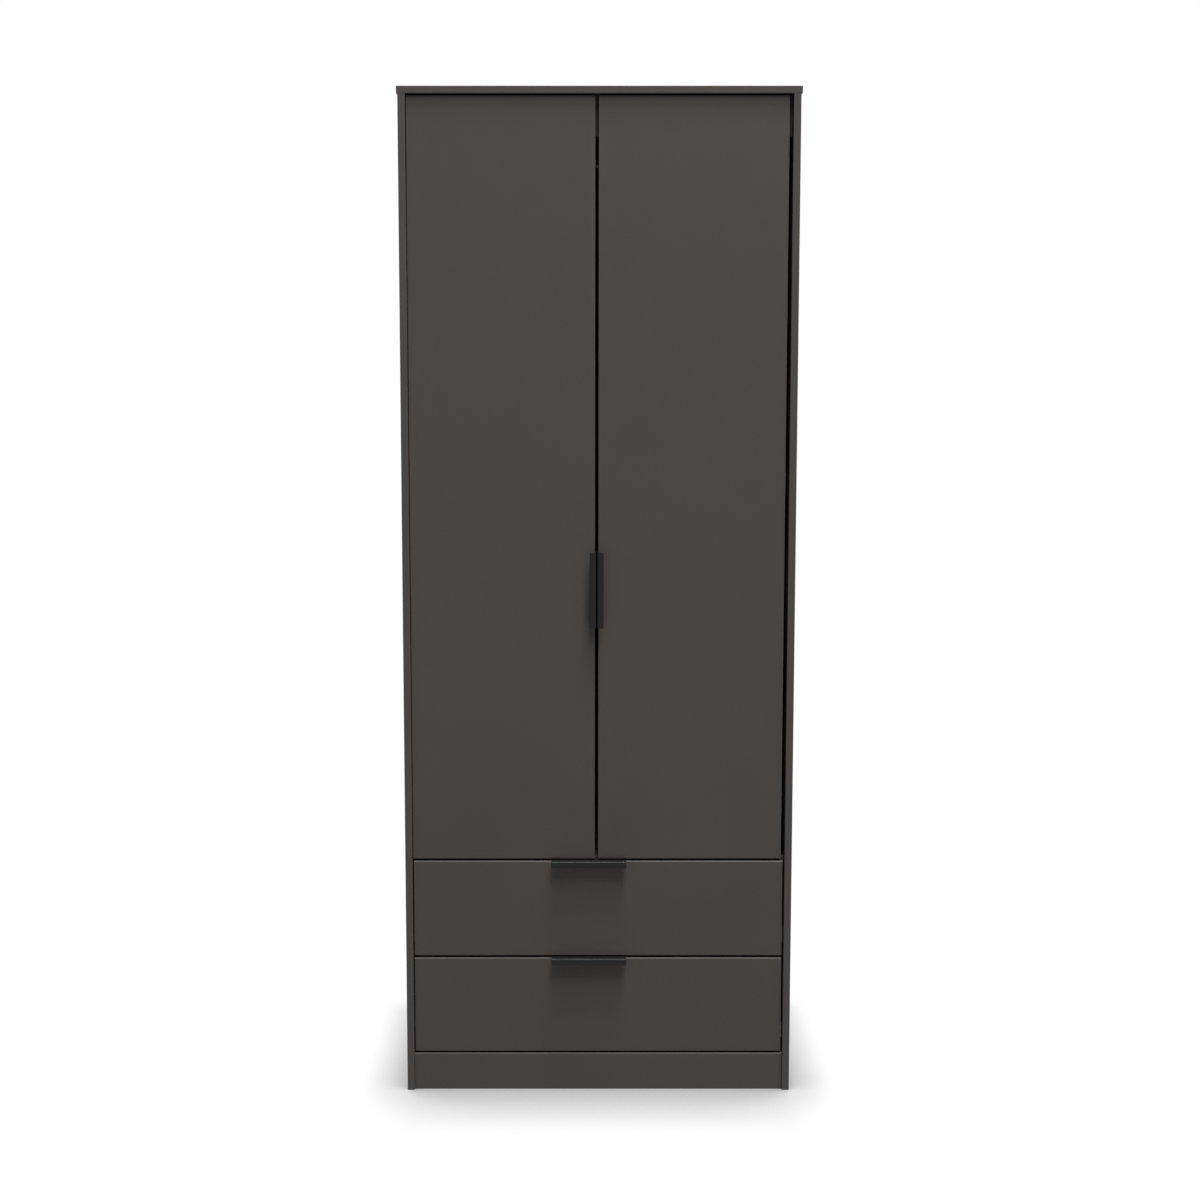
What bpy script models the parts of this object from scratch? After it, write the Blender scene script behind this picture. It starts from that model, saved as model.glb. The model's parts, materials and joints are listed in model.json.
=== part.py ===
"""Two-door wardrobe with two drawers, built of 14 and 15 mm board, at its real size.

Metres, +Z up, +X to the viewer's right, the fronts face -Y. The origin is at floor level under the
middle of the whole object. Doors turn on empties at their hinge lines, drawers slide along Y.
"""

import math

import bmesh
import bpy
from mathutils import Matrix, Vector

# Carcass
CARCASS_WIDTH = 0.765
CARCASS_DEPTH = 0.530
HEIGHT = 1.968
SHELL_BOARD = 0.014  # top and side panels
BOARD = 0.015
TOP_OVERHANG = 0.0025  # the top stands proud of each side panel
FIT_GAP = 0.0003  # air between pieces that touch on the real object
EDGE_CUT = 0.0008  # softened board edges

# Fronts: doors, drawer fronts and plinth stand back from the carcass's front edges
FRONT_RECESS = 0.006
PLINTH_HEIGHT = 0.0748
PLINTH_TO_DRAWER = 0.0037
DRAWER_FRONT_HEIGHT = 0.1927
FRONT_GAP = 0.0045  # between the two drawers, and between drawer and door
DOOR_TOP_GAP = 0.003
DOOR_WIDTH = {"left": 0.360, "right": 0.3625}
DOOR_SIDE_GAP = {"left": 0.001, "right": 0.007}
DRAWER_SIDE_GAP = {"left": 0.0022, "right": 0.0034}

# Inner boards
STOP_SETBACK = 0.024  # front edge of the divider and the top rail, behind the doors
TOP_RAIL_HEIGHT = 0.077
DIVIDER_TOP = 0.4735
BASE_TOP = 0.065
BACK_THICKNESS = 0.003
BACK_INSET = 0.010  # the groove's rear wall, from the back edge of the side panels
GROOVE_DEPTH = 0.006
BACK_BOTTOM = 0.012

# Hanging rail
RAIL_RADIUS = 0.010
RAIL_WALL = 0.001
RAIL_SETBACK = 0.265  # rail axis behind the carcass front
RAIL_BELOW_TOP = 0.1025  # rail axis under the top panel
SOCKET_FLANGE_RADIUS = 0.022
SOCKET_FLANGE = 0.0023
SOCKET_FLANGE_SLOPE = 0.0006  # the flange thins by this much towards its rim
SOCKET_RADIUS = 0.0126
SOCKET_LENGTH = 0.013

# Edge-pull handles: a folded strip that hooks over the front's edge
HANDLE_LENGTH = 0.148
HANDLE_SHEET = 0.0015
HANDLE_REACH = 0.019  # from the front's face to the lip's face
HANDLE_LIP = 0.012
HANDLE_REAR_LEG = 0.016
DOOR_HANDLE_CENTRE_Z = 1.009
DRAWER_HANDLE_CENTRE_X = -0.019

# Cup hinges, in the door's own terms: inwards from its hinge edge, back from its face
HINGE_AXIS_IN = 0.007
HINGE_AXIS_BACK = 0.0025
CUP_IN = 0.022
CUP_RADIUS = 0.0172
CUP_WALL = 0.0009
CUP_FLOOR = 0.0039
CUP_FLANGE_RADIUS = 0.0195
CUP_FLANGE = 0.0012
CUP_WING = 0.030  # half the height of the flange, over its two screw ears
CUP_WING_HALF_WIDTH = 0.006
KNUCKLE_IN = (0.008, 0.014)
KNUCKLE_BACK = 0.013
KNUCKLE_HALF_HEIGHT = 0.005
BORE_RADIUS = 0.0175
BORE_FLOOR = 0.0032
HINGE_END_DISTANCE = 0.100  # top and bottom hinges from the door's ends
ARM_HALF_HEIGHT = 0.0065
ARM_NOSE_IN = (0.0215, 0.0245)
ARM_NOSE_BACK = 0.007
ARM_NOSE_CUT = 0.001
ARM_NECK_BACK = (0.0215, 0.0245)
ARM_BODY_IN = 0.010
ARM_BODY_BACK = (0.038, 0.086)
PLATE_THICKNESS = 0.003
PLATE_HALF_HEIGHT = 0.022
PLATE_BACK = (0.048, 0.062)

# Drawer boxes
BOX_BOARD = 0.012
RUNNER_SPACE = 0.0125  # between a drawer box and the side panel
BOX_LENGTH = 0.450
BOX_HEIGHT = 0.130
BOX_RISE = 0.0245  # underside of the box above the lower edge of the drawer front
BASE_RISE = 0.008  # groove for the drawer's base above the underside of the box
BASE_THICKNESS = 0.003

# Roller runners, in the space beside a drawer box: out from the side panel, up from the channel
SHEET = 0.0012
CHANNEL_WIDTH = 0.0102
CHANNEL_HEIGHT = 0.0312
CHANNEL_DROP = 0.003  # underside of the channel below the underside of the box
RUNNER_FRONT = 0.0245  # front ends of the runners behind the carcass front
DRAWER_WEB = (0.0110, 0.0122)
FLANGE_TIP = 0.0032
FLANGE_HEIGHT = 0.021
ROLLER_RADIUS = 0.0095
ROLLER_BORE = 0.0022
ROLLER_SPAN = (0.0032, 0.0092)
ROLLER_CHAMFER = 0.0008
ROLLER_END_DISTANCE = 0.012
ROLLER_CLEARANCE = {"cabinet": 0.0004, "drawer": 0.0003}  # under each roller, inside its channel
STUD_RADIUS = 0.0018

# Levels and planes that follow from the dimensions above
HANDLE_OUT = HANDLE_REACH - FRONT_RECESS
FRONT = (HANDLE_OUT - CARCASS_DEPTH) / 2
BACK = FRONT + CARCASS_DEPTH
FACE = FRONT + FRONT_RECESS  # outer face of doors, drawer fronts and plinth
INNER = FACE + BOARD  # inner face of doors and drawer fronts
HALF_WIDTH = CARCASS_WIDTH / 2
HALF_INSIDE = HALF_WIDTH - SHELL_BOARD
UNDER_TOP = HEIGHT - SHELL_BOARD
BACK_PANEL = BACK - BACK_INSET - FIT_GAP - BACK_THICKNESS  # front face of the back panels
LOWER_FRONT_BOTTOM = PLINTH_HEIGHT + PLINTH_TO_DRAWER
UPPER_FRONT_BOTTOM = LOWER_FRONT_BOTTOM + DRAWER_FRONT_HEIGHT + FRONT_GAP
DOOR_BOTTOM = UPPER_FRONT_BOTTOM + DRAWER_FRONT_HEIGHT + FRONT_GAP
DOOR_TOP = UNDER_TOP - DOOR_TOP_GAP
FRONT_BOTTOM = {"upper": UPPER_FRONT_BOTTOM, "lower": LOWER_FRONT_BOTTOM}
SIDES = {"left": -1, "right": 1}
HINGE_LEVELS = {
    "top": DOOR_TOP - HINGE_END_DISTANCE,
    "middle": (DOOR_TOP + DOOR_BOTTOM) / 2,
    "bottom": DOOR_BOTTOM + HINGE_END_DISTANCE,
}

CIRCLE = 32
SMALL_CIRCLE = 20
SMOOTH_ANGLE = math.radians(40)


# Materials

def principled(name, colour, roughness, metallic=0.0):
    material = bpy.data.materials.new(name)
    material.use_nodes = True
    shader = material.node_tree.nodes["Principled BSDF"]
    shader.inputs["Base Color"].default_value = (*colour, 1.0)
    shader.inputs["Roughness"].default_value = roughness
    shader.inputs["Metallic"].default_value = metallic
    material.diffuse_color = (*colour, 1.0)
    return material


def make_materials():
    return {
        "graphite_board": principled("graphite_board", (0.075, 0.068, 0.062), 0.55),
        "back_board": principled("back_board", (0.085, 0.078, 0.072), 0.7),
        "drawer_board": principled("drawer_board", (0.22, 0.22, 0.215), 0.6),
        "black_metal": principled("black_metal", (0.018, 0.018, 0.018), 0.45, 0.3),
        "rail_steel": principled("rail_steel", (0.62, 0.62, 0.62), 0.25, 1.0),
        "hinge_steel": principled("hinge_steel", (0.55, 0.55, 0.54), 0.35, 1.0),
        "runner_enamel": principled("runner_enamel", (0.6, 0.6, 0.58), 0.4),
        "roller_nylon": principled("roller_nylon", (0.75, 0.75, 0.72), 0.45),
    }


# Shapes, built in world coordinates

def slab(low, high):
    """A box between two corners."""
    bm = bmesh.new()
    size = [h - l for l, h in zip(low, high)]
    middle = [(l + h) / 2 for l, h in zip(low, high)]
    bmesh.ops.create_cube(bm, size=1.0, matrix=Matrix.Translation(middle) @ Matrix.Diagonal((*size, 1)))
    return bm


def prism(outline, low, high, axis):
    """An outline in the plane across the axis, extruded along it from low to high."""
    place = {
        "X": lambda a, b: (low, a, b),
        "Y": lambda a, b: (a, low, b),
        "Z": lambda a, b: (a, b, low),
    }[axis]
    bm = bmesh.new()
    face = bm.faces.new([bm.verts.new(place(a, b)) for a, b in outline])
    grown = bmesh.ops.extrude_face_region(bm, geom=[face])["geom"]
    step = Vector([(high - low) * (axis == name) for name in "XYZ"])
    bmesh.ops.translate(bm, vec=step, verts=[v for v in grown if isinstance(v, bmesh.types.BMVert)])
    bmesh.ops.recalc_face_normals(bm, faces=bm.faces)
    return bm


def turned(profile, base, direction, segments=CIRCLE):
    """A (radius, height) profile spun about the line through base; closed unless it ends on the line."""
    bm = bmesh.new()
    points = [bm.verts.new((radius, 0, height)) for radius, height in profile]
    edges = [bm.edges.new(pair) for pair in zip(points, points[1:])]
    if profile[0][0] > 0:
        edges.append(bm.edges.new((points[-1], points[0])))
    bmesh.ops.spin(bm, geom=points + edges, axis=(0, 0, 1), cent=(0, 0, 0),
                   angle=2 * math.pi, steps=segments, use_merge=True)
    bmesh.ops.remove_doubles(bm, verts=bm.verts, dist=1e-6)
    bmesh.ops.recalc_face_normals(bm, faces=bm.faces)
    turn = Vector((0, 0, 1)).rotation_difference(Vector(direction)).to_matrix().to_4x4()
    bmesh.ops.transform(bm, matrix=Matrix.Translation(base) @ turn, verts=bm.verts)
    return bm


def mesh_of(bm, name, origin=(0, 0, 0)):
    """The mesh of a shape, measured from origin."""
    bmesh.ops.translate(bm, vec=-Vector(origin), verts=bm.verts)
    mesh = bpy.data.meshes.new(name)
    bm.to_mesh(mesh)
    bm.free()
    return mesh


def joined(name, shapes, origin):
    """One mesh from shapes that overlap, by Boolean unions, measured from origin."""
    helpers = []
    for bm in shapes:
        helper = bpy.data.objects.new(name, mesh_of(bm, name, origin))
        bpy.context.scene.collection.objects.link(helper)
        helpers.append(helper)
    for other in helpers[1:]:
        union = helpers[0].modifiers.new("Union", "BOOLEAN")
        union.operation = "UNION"
        union.object = other
    graph = bpy.context.evaluated_depsgraph_get()
    mesh = bpy.data.meshes.new_from_object(helpers[0].evaluated_get(graph))
    mesh.name = name
    for helper in helpers:
        bpy.data.objects.remove(helper)
    return mesh


# Objects

def pivot(name, location):
    empty = bpy.data.objects.new(name, None)
    empty.empty_display_size = 0.05
    empty.location = location
    bpy.context.scene.collection.objects.link(empty)
    return empty


def put(name, mesh, material, origin, parent):
    """A mesh measured from origin, placed there under its parent empty."""
    obj = bpy.data.objects.new(name, mesh)
    bpy.context.scene.collection.objects.link(obj)
    obj.parent = parent
    obj.location = Vector(origin) - parent.location
    if not mesh.materials:
        mesh.materials.append(material)
    return obj


def add(name, bm, material, origin, parent):
    """A shape in world coordinates as a node with the given origin."""
    return put(name, mesh_of(bm, name, origin), material, origin, parent)


def soften(obj):
    """Cuts the sharp edges of a board back a little."""
    bevel = obj.modifiers.new("Softened edges", "BEVEL")
    bevel.width = EDGE_CUT
    bevel.segments = 1
    bevel.limit_method = "ANGLE"


def bore(obj, bm, name):
    """Cuts a shape out of an object."""
    cutter = bpy.data.objects.new(name, mesh_of(bm, name))
    cutter.hide_render = True
    cutter.display_type = "WIRE"
    bpy.context.scene.collection.objects.link(cutter)
    cut = obj.modifiers.new(name, "BOOLEAN")
    cut.operation = "DIFFERENCE"
    cut.object = cutter


def smooth_round(mesh):
    mesh.shade_smooth()
    mesh.set_sharp_from_angle(angle=SMOOTH_ANGLE)


# Carcass

def side_outline(side):
    """A side panel from above: front corners softened, a groove near the back for the back panels."""
    outer = side * HALF_WIDTH
    inner = side * HALF_INSIDE
    cut = side * EDGE_CUT
    groove = side * (HALF_INSIDE + GROOVE_DEPTH)
    groove_front = BACK_PANEL - FIT_GAP
    groove_back = BACK - BACK_INSET
    return [
        (outer - cut, FRONT), (outer, FRONT + EDGE_CUT), (outer, BACK), (inner, BACK),
        (inner, groove_back), (groove, groove_back), (groove, groove_front), (inner, groove_front),
        (inner, FRONT + EDGE_CUT), (inner + cut, FRONT),
    ]


def build_shell(materials, root):
    """Side panels, top, base, divider, rails, plinth and back: everything that stands still."""
    board = materials["graphite_board"]
    for word, side in SIDES.items():
        origin = (side * (HALF_WIDTH - SHELL_BOARD / 2), (FRONT + BACK) / 2, 0)
        panel = prism(side_outline(side), 0, UNDER_TOP - FIT_GAP, "Z")
        add(f"{word}_side_panel", panel, board, origin, root)

    over = HALF_WIDTH + TOP_OVERHANG
    fit = HALF_INSIDE - FIT_GAP
    stop = FRONT + STOP_SETBACK
    rear = BACK_PANEL - FIT_GAP
    rail_bottom = UNDER_TOP - TOP_RAIL_HEIGHT
    boards = {
        "top_panel": ((-over, FRONT, UNDER_TOP), (over, BACK, HEIGHT)),
        "base_panel": ((-fit, INNER + FIT_GAP, BASE_TOP - BOARD), (fit, rear, BASE_TOP)),
        "divider_shelf": ((-fit, stop, DIVIDER_TOP - BOARD), (fit, rear, DIVIDER_TOP)),
        "front_top_rail": ((-fit, stop, rail_bottom), (fit, stop + BOARD, UNDER_TOP - FIT_GAP)),
        "rear_top_rail": ((-fit, rear - BOARD, rail_bottom), (fit, rear, UNDER_TOP - FIT_GAP)),
        "plinth": ((-fit, FACE, 0), (fit, INNER, PLINTH_HEIGHT)),
    }
    for name, (low, high) in boards.items():
        middle = [(a + b) / 2 for a, b in zip(low, high)]
        soften(add(name, slab(low, high), board, middle, root))


def build_back(materials, root):
    """Two thin panels in the grooves of the side panels, meeting behind the divider."""
    reach = HALF_INSIDE + GROOVE_DEPTH - FIT_GAP
    seam = DIVIDER_TOP - BOARD / 2
    spans = {
        "upper_back_panel": (seam + FIT_GAP / 2, UNDER_TOP - FIT_GAP),
        "lower_back_panel": (BACK_BOTTOM, seam - FIT_GAP / 2),
    }
    for name, (bottom, top) in spans.items():
        sheet = slab((-reach, BACK_PANEL, bottom), (reach, BACK_PANEL + BACK_THICKNESS, top))
        origin = (0, BACK_PANEL, (bottom + top) / 2)
        add(name, sheet, materials["back_board"], origin, root)


def build_hanging_rail(materials, root):
    """A steel tube whose ends sit in flanged sockets on the side panels."""
    level = UNDER_TOP - RAIL_BELOW_TOP
    depth = FRONT + RAIL_SETBACK
    bore_radius = RAIL_RADIUS - RAIL_WALL
    end = HALF_INSIDE - FIT_GAP - SOCKET_FLANGE - FIT_GAP
    tube = turned([(RAIL_RADIUS, -end), (RAIL_RADIUS, end), (bore_radius, end), (bore_radius, -end)],
                  (0, depth, level), (1, 0, 0))
    rail = add("hanging_rail", tube, materials["rail_steel"], (0, depth, level), root)
    smooth_round(rail.data)

    hole = RAIL_RADIUS + FIT_GAP
    rim = SOCKET_FLANGE - SOCKET_FLANGE_SLOPE
    profile = [
        (0, 0), (SOCKET_FLANGE_RADIUS, 0), (SOCKET_FLANGE_RADIUS, rim),
        (SOCKET_RADIUS, SOCKET_FLANGE), (SOCKET_RADIUS, SOCKET_LENGTH), (hole, SOCKET_LENGTH),
        (hole, SOCKET_FLANGE), (0, SOCKET_FLANGE),
    ]
    for word, side in SIDES.items():
        base = (side * (HALF_INSIDE - FIT_GAP), depth, level)
        socket = add(f"{word}_rail_socket", turned(profile, base, (-side, 0, 0)),
                     materials["hinge_steel"], base, root)
        smooth_round(socket.data)


# Doors

def hinge_edge(word):
    """X of a door's hinge edge."""
    return SIDES[word] * (HALF_INSIDE - DOOR_SIDE_GAP[word])


def handle_outline(edge, lip_side):
    """The folded strip, as (across, depth): leg behind the front, plate on its edge, lip in front.

    edge is where the front ends and lip_side the way back over its face.
    """
    near = edge - lip_side * FIT_GAP
    far = near - lip_side * HANDLE_SHEET
    lip = far + lip_side * HANDLE_LIP
    leg = far + lip_side * HANDLE_REAR_LEG
    nose = FACE - HANDLE_REACH
    behind = INNER + FIT_GAP
    return [
        (lip, nose), (far, nose), (far, behind + HANDLE_SHEET), (leg, behind + HANDLE_SHEET),
        (leg, behind), (near, behind), (near, nose + HANDLE_SHEET), (lip, nose + HANDLE_SHEET),
    ]


def build_door(word, materials, root):
    side = SIDES[word]
    edge = hinge_edge(word)
    free = edge - side * DOOR_WIDTH[word]
    axis = (edge - side * HINGE_AXIS_IN, FACE + HINGE_AXIS_BACK, 0)
    hinge_line = pivot(f"{word}_door_hinge_line", axis)
    hinge_line.parent = root

    board = slab((min(edge, free), FACE, DOOR_BOTTOM), (max(edge, free), INNER, DOOR_TOP))
    door = add(f"{word}_door", board, materials["graphite_board"], axis, hinge_line)
    soften(door)
    for level, z in HINGE_LEVELS.items():
        hole = turned([(0, BORE_FLOOR), (BORE_RADIUS, BORE_FLOOR), (BORE_RADIUS, 2 * BOARD), (0, 2 * BOARD)],
                      (edge - side * CUP_IN, FACE, z), (0, 1, 0))
        bore(door, hole, f"{word}_{level}_cup_bore")

    outline = handle_outline(free, side)
    bottom = DOOR_HANDLE_CENTRE_Z - HANDLE_LENGTH / 2
    strip = prism(outline, bottom, bottom + HANDLE_LENGTH, "Z")
    add(f"{word}_door_handle", strip, materials["black_metal"], axis, hinge_line)
    return hinge_line


def cup_mesh(word):
    """A hinge cup, measured from its centre at the door's face, with its flange, ears and knuckle."""
    side = SIDES[word]
    seat = BOARD + FIT_GAP
    mouth = seat + CUP_FLANGE
    inside = CUP_RADIUS - CUP_WALL
    bowl = turned(
        [(0, CUP_FLOOR), (CUP_RADIUS, CUP_FLOOR), (CUP_RADIUS, seat), (CUP_FLANGE_RADIUS, seat),
         (CUP_FLANGE_RADIUS, mouth), (inside, mouth), (inside, CUP_FLOOR + CUP_WALL),
         (0, CUP_FLOOR + CUP_WALL)], (0, 0, 0), (0, 1, 0))
    ears = [
        slab((-CUP_WING_HALF_WIDTH, seat, min(low, high)), (CUP_WING_HALF_WIDTH, mouth, max(low, high)))
        for low, high in ((CUP_RADIUS, CUP_WING), (-CUP_WING, -CUP_RADIUS))
    ]
    across = sorted(side * (CUP_IN - inwards) for inwards in KNUCKLE_IN)
    knuckle = slab((across[0], CUP_FLOOR + CUP_WALL / 2, -KNUCKLE_HALF_HEIGHT),
                   (across[1], KNUCKLE_BACK, KNUCKLE_HALF_HEIGHT))
    mesh = joined(f"{word}_hinge_cup", [bowl, *ears, knuckle], (0, 0, 0))
    smooth_round(mesh)
    return mesh


def arm_mesh(word):
    """A hinge arm with its mounting plate, measured from the side panel's inner face."""
    side = SIDES[word]
    gap = DOOR_SIDE_GAP[word]
    foot = FIT_GAP
    body = gap + ARM_BODY_IN
    near, far = (gap + inwards for inwards in ARM_NOSE_IN)
    tip = ARM_NOSE_BACK
    cut = ARM_NOSE_CUT
    outline = [
        (foot, ARM_BODY_BACK[1]), (body, ARM_BODY_BACK[1]), (body, ARM_BODY_BACK[0]),
        (far, ARM_NECK_BACK[1]), (far, tip + cut), (far - cut, tip), (near + cut, tip),
        (near, tip + cut), (near, ARM_NECK_BACK[0]), (foot, ARM_BODY_BACK[0]),
    ]
    inwards = [(-side * across, depth) for across, depth in outline]
    bar = prism(inwards, -ARM_HALF_HEIGHT, ARM_HALF_HEIGHT, "Z")
    across = sorted((-side * foot, -side * (foot + PLATE_THICKNESS)))
    plate = slab((across[0], PLATE_BACK[0], -PLATE_HALF_HEIGHT),
                 (across[1], PLATE_BACK[1], PLATE_HALF_HEIGHT))
    return joined(f"{word}_hinge_arm", [bar, plate], (0, 0, 0))


def build_hinges(word, hinge_line, materials, root):
    side = SIDES[word]
    cups = cup_mesh(word)
    arms = arm_mesh(word)
    for level, z in HINGE_LEVELS.items():
        centre = (hinge_edge(word) - side * CUP_IN, FACE, z)
        put(f"{word}_{level}_hinge_cup", cups, materials["hinge_steel"], centre, hinge_line)
        foot = (side * HALF_INSIDE, FACE, z)
        put(f"{word}_{level}_hinge_arm", arms, materials["hinge_steel"], foot, root)


# Drawers

def build_drawer_front(row, materials, slide):
    bottom = FRONT_BOTTOM[row]
    top = bottom + DRAWER_FRONT_HEIGHT
    low = (-HALF_INSIDE + DRAWER_SIDE_GAP["left"], FACE, bottom)
    high = (HALF_INSIDE - DRAWER_SIDE_GAP["right"], INNER, top)
    origin = (0, FACE, bottom)
    soften(add(f"{row}_drawer_front", slab(low, high), materials["graphite_board"], origin, slide))

    outline = [(depth, height) for height, depth in handle_outline(top, -1)]
    left = DRAWER_HANDLE_CENTRE_X - HANDLE_LENGTH / 2
    strip = prism(outline, left, left + HANDLE_LENGTH, "X")
    add(f"{row}_drawer_handle", strip, materials["black_metal"], origin, slide)


def build_drawer_box(row, materials, slide):
    """Two grooved sides and a back on a thin base, fixed to the drawer front."""
    under = FRONT_BOTTOM[row] + BOX_RISE
    top = under + BOX_HEIGHT
    outer = HALF_INSIDE - RUNNER_SPACE
    inner = outer - BOX_BOARD
    front = INNER + FIT_GAP
    rear = front + BOX_LENGTH
    groove_low = under + BASE_RISE
    groove_high = groove_low + BASE_THICKNESS + 2 * FIT_GAP
    groove = inner + GROOVE_DEPTH
    board = materials["drawer_board"]
    for word, side in SIDES.items():
        outline = [
            (outer, under), (outer, top), (inner, top), (inner, groove_high), (groove, groove_high),
            (groove, groove_low), (inner, groove_low), (inner, under),
        ]
        panel = prism([(side * x, z) for x, z in outline], front, rear, "Y")
        add(f"{row}_drawer_{word}_side", panel, board, (side * outer, front, under), slide)

    fit = inner - FIT_GAP
    back = slab((-fit, rear - BOX_BOARD, groove_high), (fit, rear, top))
    add(f"{row}_drawer_back", back, board, (0, rear, under), slide)
    reach = groove - FIT_GAP
    base_bottom = groove_low + FIT_GAP
    base = slab((-reach, front, base_bottom), (reach, rear, base_bottom + BASE_THICKNESS))
    add(f"{row}_drawer_base", base, board, (0, front, base_bottom), slide)


# Runners, drawn for the left side: across is the distance from the side panel's inner face

def stud(across, depth, level):
    """The axle a roller turns on, along X."""
    start, end = across
    profile = [(0, 0), (STUD_RADIUS, 0), (STUD_RADIUS, end - start), (0, end - start)]
    return turned(profile, (start, depth, level), (1, 0, 0), SMALL_CIRCLE)


def mirrored(bm, side):
    """Turns a shape drawn for the left side into one for the given side."""
    bmesh.ops.transform(bm, matrix=Matrix.Diagonal((-side, 1, 1, 1)), verts=bm.verts)
    bmesh.ops.recalc_face_normals(bm, faces=bm.faces)
    return bm


def roller_height(half):
    """A roller's axle above the underside of the channel, on the cabinet's or the drawer's half."""
    return SHEET + ROLLER_CLEARANCE[half] + ROLLER_RADIUS


def cabinet_runner(side, front, rear):
    """A C-shaped channel, open towards the drawer, with a roller stud at its front end."""
    web = (FIT_GAP, FIT_GAP + SHEET)
    top = CHANNEL_HEIGHT
    channel = prism(
        [(web[0], 0), (CHANNEL_WIDTH, 0), (CHANNEL_WIDTH, SHEET), (web[1], SHEET), (web[1], top - SHEET),
         (CHANNEL_WIDTH, top - SHEET), (CHANNEL_WIDTH, top), (web[0], top)], front, rear, "Y")
    axle = stud((web[0] + SHEET / 2, ROLLER_SPAN[1] + FIT_GAP), front + ROLLER_END_DISTANCE,
                roller_height("cabinet"))
    return [mirrored(channel, side), mirrored(axle, side)]


def drawer_runner(side, front, rear):
    """A Z-shaped strip under and beside the drawer side, with a roller stud at its rear end."""
    low = CHANNEL_DROP - SHEET - FIT_GAP
    high = CHANNEL_DROP - FIT_GAP
    inner = RUNNER_SPACE + BOX_BOARD - FIT_GAP
    web = DRAWER_WEB
    strip = prism(
        [(inner, low), (web[0], low), (web[0], FLANGE_HEIGHT), (FLANGE_TIP, FLANGE_HEIGHT),
         (FLANGE_TIP, FLANGE_HEIGHT + SHEET), (web[1], FLANGE_HEIGHT + SHEET), (web[1], high),
         (inner, high)], front, rear, "Y")
    axle = stud((ROLLER_SPAN[0] - FIT_GAP, web[0] + SHEET / 2), rear - ROLLER_END_DISTANCE,
                roller_height("drawer"))
    return [mirrored(strip, side), mirrored(axle, side)]


def roller(side):
    """A chamfered nylon wheel around the X axis."""
    start, end = ROLLER_SPAN
    rim = ROLLER_RADIUS - ROLLER_CHAMFER
    width = end - start
    ring = turned(
        [(ROLLER_BORE, 0), (rim, 0), (ROLLER_RADIUS, ROLLER_CHAMFER),
         (ROLLER_RADIUS, width - ROLLER_CHAMFER), (rim, width), (ROLLER_BORE, width)],
        (start, 0, 0), (1, 0, 0), SMALL_CIRCLE)
    return mirrored(ring, side)


def build_runners(row, materials, slide, root):
    """Both runner pairs of a drawer, each with a roller on the cabinet's and on the drawer's half."""
    channel_bottom = FRONT_BOTTOM[row] + BOX_RISE - CHANNEL_DROP
    front = FRONT + RUNNER_FRONT
    rear = INNER + FIT_GAP + BOX_LENGTH
    enamel = materials["runner_enamel"]
    nylon = materials["roller_nylon"]
    for word, side in SIDES.items():
        origin = (side * HALF_INSIDE, 0, channel_bottom)
        parts = joined(f"{row}_{word}_cabinet_runner", cabinet_runner(side, front, rear), (0, 0, 0))
        put(f"{row}_{word}_cabinet_runner", parts, enamel, origin, root)
        parts = joined(f"{row}_drawer_{word}_runner", drawer_runner(side, front, rear), (0, 0, 0))
        put(f"{row}_drawer_{word}_runner", parts, enamel, origin, slide)

        axle = (origin[0], front + ROLLER_END_DISTANCE, channel_bottom + roller_height("cabinet"))
        wheel = mesh_of(roller(side), f"{row}_{word}_cabinet_roller")
        smooth_round(wheel)
        put(f"{row}_{word}_cabinet_roller", wheel, nylon, axle, root)
        axle = (origin[0], rear - ROLLER_END_DISTANCE, channel_bottom + roller_height("drawer"))
        wheel = mesh_of(roller(side), f"{row}_drawer_{word}_roller")
        smooth_round(wheel)
        put(f"{row}_drawer_{word}_roller", wheel, nylon, axle, slide)


def build_drawer(row, materials, root):
    slide = pivot(f"{row}_drawer_slide", (0, FACE, FRONT_BOTTOM[row]))
    slide.parent = root
    build_drawer_front(row, materials, slide)
    build_drawer_box(row, materials, slide)
    build_runners(row, materials, slide, root)


def main():
    for obj in list(bpy.data.objects):
        bpy.data.objects.remove(obj)
    materials = make_materials()
    root = pivot("wardrobe", (0, 0, 0))
    build_shell(materials, root)
    build_back(materials, root)
    build_hanging_rail(materials, root)
    for word in SIDES:
        hinge_line = build_door(word, materials, root)
        build_hinges(word, hinge_line, materials, root)
    for row in FRONT_BOTTOM:
        build_drawer(row, materials, root)


main()
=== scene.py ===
"""The looks of a tall two-door, two-drawer wardrobe in matt graphite board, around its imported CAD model.

Metres, +Z up, the fronts face -Y. Boards are made in the frame's own coordinates, from the boxes of the
CAD nodes they stand for. Hinge parts, screws and pins are drawn around their own origin and placed.
"""

import json
import math

import bmesh
import bpy
from mathutils import Matrix, Vector

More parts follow.
